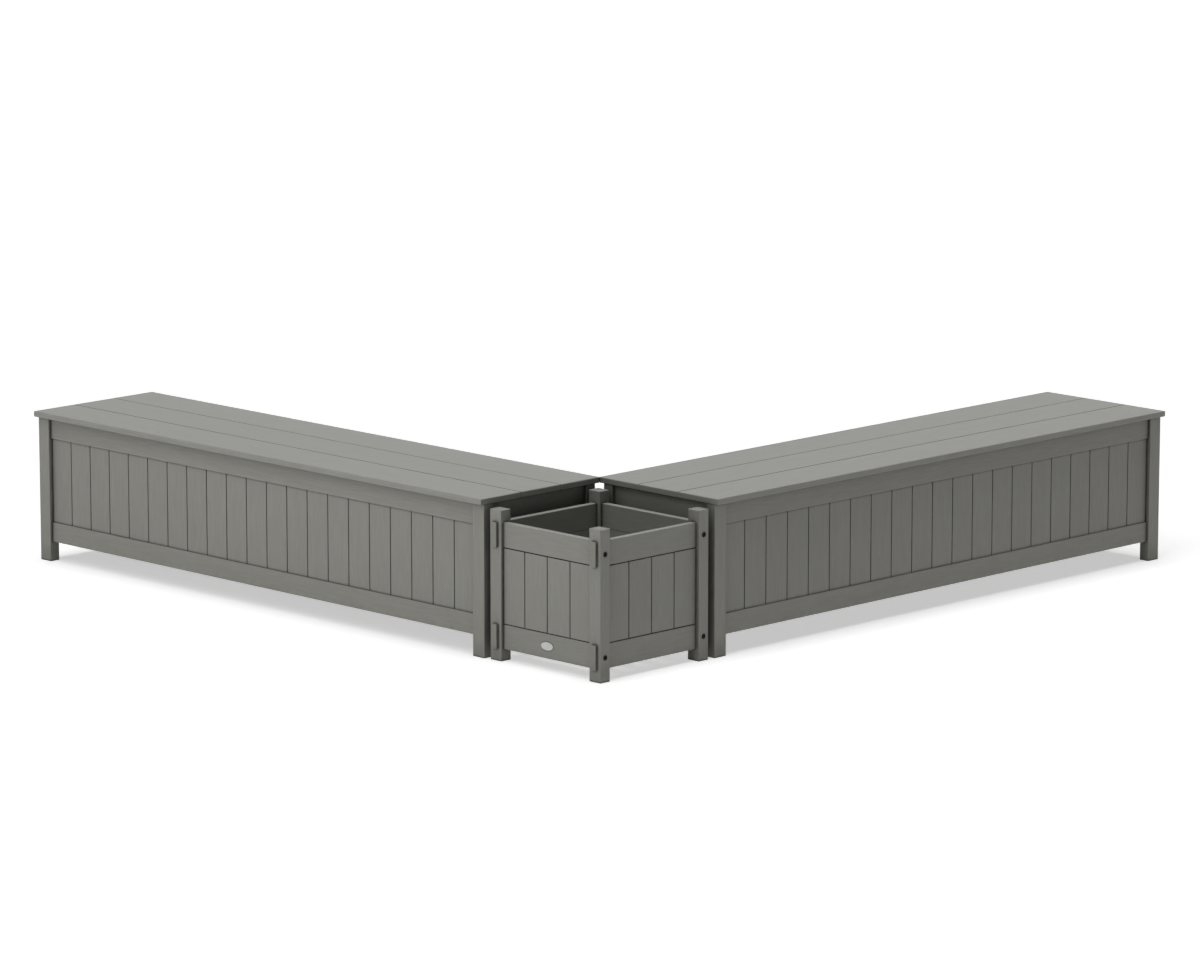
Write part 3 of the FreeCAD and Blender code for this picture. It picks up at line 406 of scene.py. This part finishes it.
def make_cut_group():
    """Sawn ends of a board: where they are and the marks of the saw."""
    wire, given, made = new_group(
        "Sawn ends",
        [("Place", VECTOR), ("Along", VECTOR)],
        [("Mask", FLOAT), ("Marks", FLOAT)])
    true_normal = wire.node("ShaderNodeNewGeometry").outputs["True Normal"]
    facing = wire.math("ABSOLUTE", wire.vector("DOT_PRODUCT", true_normal, given["Along"]))
    wire.feed(made.inputs["Mask"], wire.ramp(facing, 0.97, 0.99))
    stretched = wire.vector("MULTIPLY", given["Place"], SAW_STRETCH)
    wire.feed(made.inputs["Marks"], wire.noise(stretched, SAW_MARKS, detail=2.0))


def make_dust_and_bounce_group():
    """Fine dust that lies on level faces, and dust that climbs from the floor and also paints the bounce
    light that lightens the lower parts.
    """
    wire, given, made = new_group(
        "Dust",
        [("Place", VECTOR), ("Dust and bounce light height", FLOAT)],
        [("Dust", FLOAT)])
    level = wire.node("ShaderNodeSeparateXYZ", {0: given["Place"]}).outputs["Z"]
    low = wire.ramp(level, 0.0, given["Dust and bounce light height"], at_start=1.0, at_end=0.0)
    normal = wire.node("ShaderNodeNewGeometry").outputs["Normal"]
    upward = wire.node("ShaderNodeSeparateXYZ", {0: normal}).outputs["Z"]
    lying = wire.ramp(upward, 0.6, 1.0, at_end=LEVEL_DUST)
    patches = wire.ramp(wire.noise(given["Place"], DUST_AND_BOUNCE_PATCHES, detail=5.0, roughness=0.65), 0.3, 0.8)
    dust_and_bounce = wire.math("MULTIPLY", wire.math("MAXIMUM", low, lying), patches)
    wire.feed(made.inputs["Dust"], dust_and_bounce)


def make_crevice_group():
    """Painted shade from ambient occlusion: broad shade under overhangs and in inner corners, fading out
    towards the floor, and darker painted shade along seams and narrow crevices.
    """
    wire, given, made = new_group(
        "Painted crevice shade",
        [("Place", VECTOR), ("Shade reach", FLOAT), ("Seam reach", FLOAT)],
        [("Shade", FLOAT), ("Painted seam shade", FLOAT)])
    around = wire.node("ShaderNodeAmbientOcclusion", {"Distance": given["Shade reach"]}, samples=6)
    level = wire.node("ShaderNodeSeparateXYZ", {0: given["Place"]}).outputs["Z"]
    off_floor = wire.ramp(level, 0.0, given["Shade reach"], at_start=FLOOR_SHADE)
    shade = wire.math("SUBTRACT", 1.0, around.outputs["AO"], clamp=True)
    wire.feed(made.inputs["Shade"], wire.math("MULTIPLY", shade, off_floor))
    inside = wire.node("ShaderNodeAmbientOcclusion", {"Distance": given["Seam reach"]}, samples=4)
    patches = wire.ramp(wire.noise(given["Place"], SEAM_SHADE_PATCHES, detail=3.0), 0.3, 0.7, at_start=0.85)
    seam_shade = wire.math("MULTIPLY", wire.ramp(inside.outputs["AO"], 0.97, 0.5), patches)
    wire.feed(made.inputs["Painted seam shade"], seam_shade)


def make_seam_group():
    """Painted shade lines along two seams, but not down the sawn ends."""
    wire, given, made = new_group(
        "Painted seam lines",
        [("Place", VECTOR), ("Across", FLOAT), ("First seam", FLOAT), ("Second seam", FLOAT),
         ("Line width", FLOAT), ("Cut", FLOAT)],
        [("Painted seam shade", FLOAT)])
    gaps = [wire.math("ABSOLUTE", wire.math("SUBTRACT", given["Across"], given[seam]))
            for seam in ("First seam", "Second seam")]
    nearest = wire.math("MINIMUM", *gaps)
    outer = wire.math("MULTIPLY", given["Line width"], 0.5)
    inner = wire.math("MULTIPLY", given["Line width"], SEAM_CORE)
    patches = wire.ramp(wire.noise(given["Place"], SEAM_PATCHES, detail=3.0), 0.3, 0.7, at_start=0.8)
    clean_ends = wire.math("SUBTRACT", 1.0, given["Cut"], clamp=True)
    line = wire.ramp(nearest, outer, inner)
    wire.feed(made.inputs["Painted seam shade"], wire.math("MULTIPLY", line, wire.math("MULTIPLY", patches, clean_ends)))


def make_metal_group():
    """Fine turning marks and small stains of metal fittings."""
    wire, given, made = new_group(
        "Metal marks",
        [("Place", VECTOR), ("Mark size", FLOAT)],
        [("Stains", FLOAT), ("Height", FLOAT)])
    scale = wire.math("DIVIDE", 1.0, given["Mark size"])
    wire.feed(made.inputs["Height"], wire.noise(given["Place"], scale, detail=2.0))
    stain_scale = wire.math("MULTIPLY", scale, STAIN_SCALE)
    stains = wire.ramp(wire.noise(given["Place"], stain_scale, detail=4.0), 0.35, 0.75)
    wire.feed(made.inputs["Stains"], stains)


# Materials
def unit(axis):
    return Vector([1.0 if letter == axis else 0.0 for letter in AXES])


def scaled(colour, factor):
    """A colour made lighter or darker by a factor."""
    return (*[channel * factor for channel in colour[:3]], 1.0)


def mark(wire, colour, mask, strength, factor):
    """The lumber's colour, lighter or darker by a factor where a mask is high."""
    return wire.mix(wire.math("MULTIPLY", mask, strength), colour, scaled(finish().lumber_colour, factor))


def new_material(name):
    """A material with its Principled shader, and its place in metres on the piece."""
    material = bpy.data.materials.new(name)
    material.use_nodes = True
    wire = Wiring(material.node_tree)
    shader = material.node_tree.nodes["Principled BSDF"]
    place = wire.node("ShaderNodeTexCoord").outputs["Object"]
    return material, wire, shader, place


def lumber(along, across="X", first_seam=0.0, board_width=WHOLE_PIECE, shaded_seams=None):
    """Plastic lumber whose streaks run along an axis; boards beside each other differ in tone.

    shaded_seams are two places across the streaks with a painted shade line between boards.
    """
    name = f"lumber_{along}_{across}_{first_seam:.3f}_{board_width:.3f}"
    if shaded_seams:
        name += "_seat"
    if name in bpy.data.materials:
        return bpy.data.materials[name]
    look = finish()
    material, wire, shader, place = new_material(name)
    grain = wire.group("Lumber grain", {
        "Place": place, "Along": unit(along), "Streak width": look.streak_width,
        "Streak length": look.streak_length, "Pebble size": look.pebble_size})
    place_parts = wire.node("ShaderNodeSeparateXYZ", {0: place}).outputs
    tone = wire.group("Board tone", {
        "Across": place_parts[across], "First seam": first_seam, "Board width": board_width})["Tone"]
    wear_and_highlight = wire.group("Rubbed and highlit edges", {"Place": place, "Edge width": look.edge_width})["Wear and highlight"]
    cut = wire.group("Sawn ends", {"Place": place, "Along": unit(along)})
    dust_and_bounce = wire.group("Dust", {"Place": place, "Dust and bounce light height": look.dust_and_bounce_height})["Dust"]

    colour = wire.mix(wire.ramp(grain["Streaks"], 0.3, 0.7),
                      *[scaled(look.lumber_colour, factor) for factor in STREAK_TONES])
    colour = mark(wire, colour, wire.ramp(grain["Pebbles"], 0.35, 0.65), *PEBBLE_MARK)
    colour = mark(wire, colour, grain["Clouds"], *CLOUD_MARK)
    colour = mark(wire, colour, tone, *TONE_MARK)
    sawn = wire.math("MULTIPLY_ADD", cut["Marks"], SAW_MARK_STRENGTH, SAWN_STRENGTH)
    colour = mark(wire, colour, cut["Mask"], sawn, SAWN_TONE)
    # Rubbed edges lightened: partly wear, partly a painted highlight
    colour = mark(wire, colour, wear_and_highlight, *WEAR_AND_HIGHLIGHT_MARK)
    # Dust, and near the floor painted bounce light that lightens the lower parts
    colour = wire.mix(wire.math("MULTIPLY", dust_and_bounce, DUST_AND_BOUNCE_STRENGTH), colour, DUST_AND_BOUNCE_COLOUR)
    # Painted shade: ambient occlusion darkens the lumber under overhangs, in inner corners and along narrow
    # crevices
    crevice = wire.group("Painted crevice shade", {
        "Place": place, "Shade reach": look.shade_reach, "Seam reach": look.seam_reach})
    colour = mark(wire, colour, crevice["Shade"], *SHADE_MARK)
    colour = mark(wire, colour, crevice["Painted seam shade"], *SEAM_SHADE_MARK)
    # Painted shade: dark lines along the seams between the seat boards
    if shaded_seams:
        line = wire.group("Painted seam lines", {
            "Place": place, "Across": place_parts[other_axis(along)], "First seam": shaded_seams[0],
            "Second seam": shaded_seams[1], "Line width": look.seat_seam, "Cut": cut["Mask"]})["Painted seam shade"]
        colour = mark(wire, colour, line, *SEAM_MARK)
    wire.feed(shader.inputs["Base Color"], colour)

    base = look.lumber_roughness - PEBBLE_ROUGHNESS / 2
    roughness = wire.math("MULTIPLY_ADD", grain["Pebbles"], PEBBLE_ROUGHNESS, base)
    roughness = wire.math("MULTIPLY_ADD", wear_and_highlight, WEAR_ROUGHNESS, roughness)
    roughness = wire.math("MULTIPLY_ADD", cut["Mask"], SAWN_ROUGHNESS, roughness)
    roughness = wire.math("MULTIPLY_ADD", dust_and_bounce, DUST_ROUGHNESS, roughness, clamp=True)
    wire.feed(shader.inputs["Roughness"], roughness)

    saw_marks = wire.math("MULTIPLY", cut["Mask"], cut["Marks"])
    height = wire.math("MULTIPLY_ADD", saw_marks, SAW_MARK_HEIGHT, grain["Height"])
    bump = wire.node("ShaderNodeBump", {"Height": height, **LUMBER_BUMP})
    wire.feed(shader.inputs["Normal"], bump.outputs["Normal"])
    return material


def metal(name, colour, stain_colour, roughness, metallic, specular, mark_size, bump_height):
    """A metal fitting with marks of its making and light stains."""
    if name in bpy.data.materials:
        return bpy.data.materials[name]
    material, wire, shader, place = new_material(name)
    marks = wire.group("Metal marks", {"Place": place, "Mark size": mark_size})
    stained = wire.math("MULTIPLY", marks["Stains"], STAIN_STRENGTH)
    wire.feed(shader.inputs["Base Color"], wire.mix(stained, tuple(colour), stain_colour))
    wire.feed(shader.inputs["Roughness"],
              wire.math("MULTIPLY_ADD", marks["Stains"], STAIN_ROUGHNESS, roughness, clamp=True))
    wire.feed(shader.inputs["Metallic"], metallic)
    wire.feed(shader.inputs["Specular IOR Level"], specular)
    bump = wire.node("ShaderNodeBump", {
        "Height": marks["Height"], "Strength": METAL_BUMP, "Distance": bump_height})
    wire.feed(shader.inputs["Normal"], bump.outputs["Normal"])
    return material


def black_metal():
    """The blackened finish of the bolts."""
    colour = finish().bolt_colour
    return metal("blackened_steel", colour, stain_colour=scaled(colour, 3.0), roughness=0.42, metallic=0.0,
                 specular=0.12, mark_size=0.0006, bump_height=0.00008)


def bare_steel():
    """The plain steel of the screws and threaded inserts."""
    colour = finish().steel_colour
    return metal("plain_steel", colour, stain_colour=scaled(colour, 0.6), roughness=0.32, metallic=1.0,
                 specular=0.5, mark_size=0.0005, bump_height=0.00005)


def plate_metal():
    """The satin metal of the oval plate."""
    colour = finish().badge_colour
    return metal("satin_plate", colour, stain_colour=scaled(colour, 0.85), roughness=0.38, metallic=0.35,
                 specular=0.5, mark_size=0.0007, bump_height=0.00005)


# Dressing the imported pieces
def nodes_named(*words):
    """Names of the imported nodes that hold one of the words."""
    found = [name for name in sorted(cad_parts) if any(word in name for word in words)]
    if not found:
        raise RuntimeError(f"no piece is named with any of {words}")
    return found


def box_size(name):
    low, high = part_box(name)
    return high - low


def long_axis(name):
    """The horizontal axis along which a piece is longest."""
    size = box_size(name)
    return "X" if size.x > size.y else "Y"


def other_axis(axis):
    return "Y" if axis == "X" else "X"


def dress(name, material):
    """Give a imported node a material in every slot."""
    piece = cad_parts[name]
    if not piece.material_slots:
        raise RuntimeError(f"{name} has no material slot")
    for slot in piece.material_slots:
        slot.material = material


def plank_row(name, span):
    """Where the seams of a panel lie: from its middle to the first one, and from one to the next."""
    if "planter" in name:
        count = sizes().planter_planks
        cover = sizes().planter_cover
    else:
        count = sizes().end_planks if name.endswith(("left", "right")) else sizes().bench_planks
        cover = (span - 2 * sizes().tongue_length) / count
    return -count * cover / 2, cover


# New pieces
def new_piece(name, mesh_data, material):
    """A smooth mesh piece that rides on the set and takes the given material."""
    mesh = bpy.data.meshes.new(name)
    mesh_data.to_mesh(mesh)
    mesh_data.free()
    mesh.materials.append(material)
    mesh.shade_smooth()
    piece = bpy.data.objects.new(name, mesh)
    bpy.context.scene.collection.objects.link(piece)
    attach(piece, BODY)
    return piece


def oval_ring(mesh, half_long, half_short, depth):
    """One oval ring of points on the plate, seen from the front; depth is how far it stands out."""
    points = []
    for step in range(PLATE_POINTS):
        angle = math.tau * step / PLATE_POINTS
        place = (half_long * math.cos(angle), -depth, half_short * math.sin(angle))
        points.append(mesh.verts.new(place))
    return points


def bridge(mesh, first, second):
    """Faces between two rings of as many points."""
    for index, point in enumerate(first):
        following = (index + 1) % len(first)
        mesh.faces.new((point, first[following], second[following], second[index]))


class BENCHSET_OT_surface_effects(bpy.types.Operator):
    """Build the shared effects: grain, tones, wear with a painted edge highlight, sawn ends, dust with
    painted bounce light, painted shade in crevices and seams, metal marks
    """

    bl_idname = "bench_set.surface_effects"
    bl_label = "Surface effects"

    def execute(self, context):
        make_grain_group()
        make_tone_group()
        make_wear_and_highlight_group()
        make_cut_group()
        make_dust_and_bounce_group()
        make_crevice_group()
        make_seam_group()
        make_metal_group()
        return {"FINISHED"}


class BENCHSET_OT_seat_boards(bpy.types.Operator):
    """Finish the three boards of each seat"""

    bl_idname = "bench_set.seat_boards"
    bl_label = "Seat boards"

    def execute(self, context):
        for middle in nodes_named("_seat_board_middle"):
            along = long_axis(middle)
            number = AXES.index(other_axis(along))
            low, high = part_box(middle)
            seat_lumber = lumber(along, shaded_seams=(low[number], high[number]))
            for name in nodes_named(middle.removesuffix("middle")):
                dress(name, seat_lumber)
        return {"FINISHED"}


class BENCHSET_OT_uprights(bpy.types.Operator):
    """Finish the legs of the benches and the posts of the planter"""

    bl_idname = "bench_set.uprights"
    bl_label = "Legs and posts"

    def execute(self, context):
        for name in nodes_named("_leg_", "_post_"):
            dress(name, lumber("Z"))
        return {"FINISHED"}


class BENCHSET_OT_rails(bpy.types.Operator):
    """Finish the rails of the benches and of the planter"""

    bl_idname = "bench_set.rails"
    bl_label = "Rails"

    def execute(self, context):
        for name in nodes_named("_rail_", "_end_rails_"):
            dress(name, lumber(long_axis(name)))
        return {"FINISHED"}


class BENCHSET_OT_planks(bpy.types.Operator):
    """Finish the tongued and grooved planks, each with a tone of its own"""

    bl_idname = "bench_set.planks"
    bl_label = "Planks"

    def execute(self, context):
        for name in nodes_named("_planks_"):
            across = long_axis(name)
            number = AXES.index(across)
            low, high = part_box(name)
            first_seam, width = plank_row(name, high[number] - low[number])
            middle = (low[number] + high[number]) / 2
            dress(name, lumber("Z", across, middle + first_seam, width))
        return {"FINISHED"}


class BENCHSET_OT_inner_boards(bpy.types.Operator):
    """Finish the braces under the seats and the planter's floor"""

    bl_idname = "bench_set.inner_boards"
    bl_label = "Braces and floor"

    def execute(self, context):
        for name in nodes_named("_seat_braces"):
            dress(name, lumber(other_axis(long_axis(name))))
        for name in nodes_named("_floor_slats"):
            dress(name, lumber("X"))
        for name in nodes_named("_floor_cleats"):
            dress(name, lumber("Y"))
        return {"FINISHED"}


class BENCHSET_OT_hardware(bpy.types.Operator):
    """Finish the bolts, screws and threaded inserts"""

    bl_idname = "bench_set.hardware"
    bl_label = "Hardware"

    def execute(self, context):
        for name in nodes_named("_bolts"):
            dress(name, black_metal())
        for name in nodes_named("_screws", "_inserts"):
            dress(name, bare_steel())
        return {"FINISHED"}


class BENCHSET_OT_plate(bpy.types.Operator):
    """Make the blank oval plate with its rounded rim and slightly domed field"""

    bl_idname = "bench_set.plate"
    bl_label = "Oval plate"

    def execute(self, context):
        low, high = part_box("planter_badge")
        half_long = (high.x - low.x) / 2
        half_short = (high.z - low.z) / 2
        thickness = high.y - low.y
        rim = sizes().rim_width
        rise = sizes().rim_height
        field = thickness - rise
        mesh = bmesh.new()
        profile = [(0.0, 0.0), (0.0, STRAIGHT_EDGE * thickness)]
        for turn in range(1, RIM_STEPS + 1):
            angle = math.pi * turn / RIM_STEPS
            profile.append((rim / 2 * (1 - math.cos(angle)), field + rise * math.sin(angle)))
        profile.append((rim + RIM_FOOT, field))
        rings = [oval_ring(mesh, half_long - inset, half_short - inset, depth) for inset, depth in profile]
        for share in FIELD_RINGS:
            dome = field + FIELD_DOME * rise * (1 - share ** 2)
            rings.append(oval_ring(mesh, (half_long - rim) * share, (half_short - rim) * share, dome))
        for first, second in zip(rings, rings[1:]):
            bridge(mesh, first, second)
        mesh.faces.new(rings[-1])
        mesh.faces.new(list(reversed(rings[0])))
        bmesh.ops.recalc_face_normals(mesh, faces=mesh.faces)
        middle = Vector(((low.x + high.x) / 2, high.y, (low.z + high.z) / 2))
        bmesh.ops.translate(mesh, verts=mesh.verts, vec=middle)
        plate = new_piece("oval_plate", mesh, plate_metal())
        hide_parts("planter_badge")
        return {"FINISHED"}


class BENCHSET_OT_stage(bpy.types.Operator):
    """Set the pale floor, the soft lights and the camera"""

    bl_idname = "bench_set.stage"
    bl_label = "Studio"

    def execute(self, context):
        make_floor()
        make_world()
        studio = stage()
        place_light("top_light", OVERHEAD, studio.top_level, studio.high_spread, studio.top_colour)
        place_light("key_light", HIGH_IN_FRONT, studio.key_level, studio.high_spread)
        place_light("front_light", LOW_IN_FRONT, studio.front_level, studio.front_spread)
        place_panel("floor_bounce", BOUNCE_PLACE, BOUNCE_SIZE, studio.bounce_power, studio.bounce_spread)
        make_camera()
        return {"FINISHED"}


def seen_directly(wire):
    """1 for rays of the camera, of reflections and of glass, 0 for rays that carry light."""
    path = wire.node("ShaderNodeLightPath").outputs
    seen = wire.math("MAXIMUM", path["Is Camera Ray"], path["Is Glossy Ray"])
    return wire.math("MAXIMUM", seen, path["Is Transmission Ray"])


def make_floor():
    """A pale floor: white where it is open, grey in the set's shadow."""
    half = stage().floor_size / 2
    mesh = bpy.data.meshes.new("floor")
    corners = [(-half, -half, 0), (half, -half, 0), (half, half, 0), (-half, half, 0)]
    mesh.from_pydata(corners, [], [(0, 1, 2, 3)])
    floor = bpy.data.objects.new("floor", mesh)
    bpy.context.scene.collection.objects.link(floor)
    material = bpy.data.materials.new("studio_floor")
    material.use_nodes = True
    tree = material.node_tree
    tree.nodes.clear()
    wire = Wiring(tree)
    seen = seen_directly(wire)
    grey = stage().floor_grey
    colour = wire.mix(seen, (*stage().floor_bounce, 1.0), (grey, grey, grey, 1.0))
    matt = wire.node("ShaderNodeBsdfDiffuse", {"Color": colour})
    lift = wire.node("ShaderNodeEmission", {"Strength": wire.math("MULTIPLY", seen, stage().floor_lift)})
    both = wire.node("ShaderNodeAddShader", {0: matt.outputs[0], 1: lift.outputs[0]})
    wire.node("ShaderNodeOutputMaterial", {"Surface": both.outputs[0]})
    mesh.materials.append(material)


def make_world():
    """White where it is seen or mirrored; the lamps and the floor give the light."""
    world = bpy.data.worlds.new("studio")
    bpy.context.scene.world = world
    world.use_nodes = True
    wire = Wiring(world.node_tree)
    backdrop = world.node_tree.nodes["Background"]
    backdrop.inputs["Color"].default_value = (1, 1, 1, 1)
    wire.feed(backdrop.inputs["Strength"], seen_directly(wire))


def place_light(name, direction, strength, spread, colour=(1, 1, 1)):
    """A broad distant light that comes from a direction."""
    light = bpy.data.lights.new(name, "SUN")
    light.energy = strength
    light.color = colour
    light.angle = spread
    lamp = bpy.data.objects.new(name, light)
    lamp.rotation_mode = "QUATERNION"
    lamp.rotation_quaternion = direction.to_track_quat("Z", "Y")
    lamp.location = direction.normalized() * LAMP_DISTANCE
    bpy.context.scene.collection.objects.link(lamp)


def place_panel(name, place, size, power, spread):
    """A softly lit rectangle that shines straight down."""
    light = bpy.data.lights.new(name, "AREA")
    light.shape = "RECTANGLE"
    light.size, light.size_y = size
    light.energy = power
    light.spread = spread
    lamp = bpy.data.objects.new(name, light)
    lamp.location = place
    bpy.context.scene.collection.objects.link(lamp)


def make_camera():
    """A long lens at the photograph's viewing angle."""
    studio = stage()
    back = Vector((math.sin(studio.azimuth) * math.cos(studio.elevation),
                   -math.cos(studio.azimuth) * math.cos(studio.elevation),
                   math.sin(studio.elevation)))
    data = bpy.data.cameras.new("camera")
    data.sensor_width = SENSOR_WIDTH
    data.lens = studio.focal_pixels * SENSOR_WIDTH / PHOTO_WIDTH
    data.clip_end = FAR_CLIP * studio.distance
    camera = bpy.data.objects.new("camera", data)
    camera.rotation_mode = "QUATERNION"
    camera.rotation_quaternion = back.to_track_quat("Z", "Y")
    camera.location = Vector(studio.aim) + back * studio.distance
    bpy.context.scene.collection.objects.link(camera)
    bpy.context.scene.camera = camera
    bpy.context.scene.view_settings.view_transform = "Standard"


STEPS = (
    BENCHSET_OT_surface_effects,
    BENCHSET_OT_seat_boards,
    BENCHSET_OT_uprights,
    BENCHSET_OT_rails,
    BENCHSET_OT_planks,
    BENCHSET_OT_inner_boards,
    BENCHSET_OT_hardware,
    BENCHSET_OT_plate,
    BENCHSET_OT_stage,
)


class BENCHSET_PT_sidebar(bpy.types.Panel):
    """Lists the steps and the values that a user would change"""

    bl_idname = "BENCHSET_PT_sidebar"
    bl_label = "Bench set"
    bl_space_type = "VIEW_3D"
    bl_region_type = "UI"
    bl_category = "Bench set"

    def draw(self, context):
        layout = self.layout
        for step in STEPS:
            layout.operator(step.bl_idname)
        for group in (finish(), sizes(), stage()):
            box = layout.box()
            for name in group.bl_rna.properties.keys():
                if name not in ("rna_type", "name"):
                    box.prop(group, name)


CLASSES = (BenchSetFinish, BenchSetSizes, BenchSetStage, *STEPS, BENCHSET_PT_sidebar)


def register():
    for kind in CLASSES:
        bpy.utils.register_class(kind)
    bpy.types.Scene.bench_set_finish = PointerProperty(type=BenchSetFinish)
    bpy.types.Scene.bench_set_sizes = PointerProperty(type=BenchSetSizes)
    bpy.types.Scene.bench_set_stage = PointerProperty(type=BenchSetStage)


def unregister():
    del bpy.types.Scene.bench_set_stage
    del bpy.types.Scene.bench_set_sizes
    del bpy.types.Scene.bench_set_finish
    for kind in reversed(CLASSES):
        bpy.utils.unregister_class(kind)


def main():
    register()
    bpy.ops.bench_set.surface_effects()
    bpy.ops.bench_set.seat_boards()
    bpy.ops.bench_set.uprights()
    bpy.ops.bench_set.rails()
    bpy.ops.bench_set.planks()
    bpy.ops.bench_set.inner_boards()
    bpy.ops.bench_set.hardware()
    bpy.ops.bench_set.plate()
    bpy.ops.bench_set.stage()


if __name__ == "__main__":
    main()
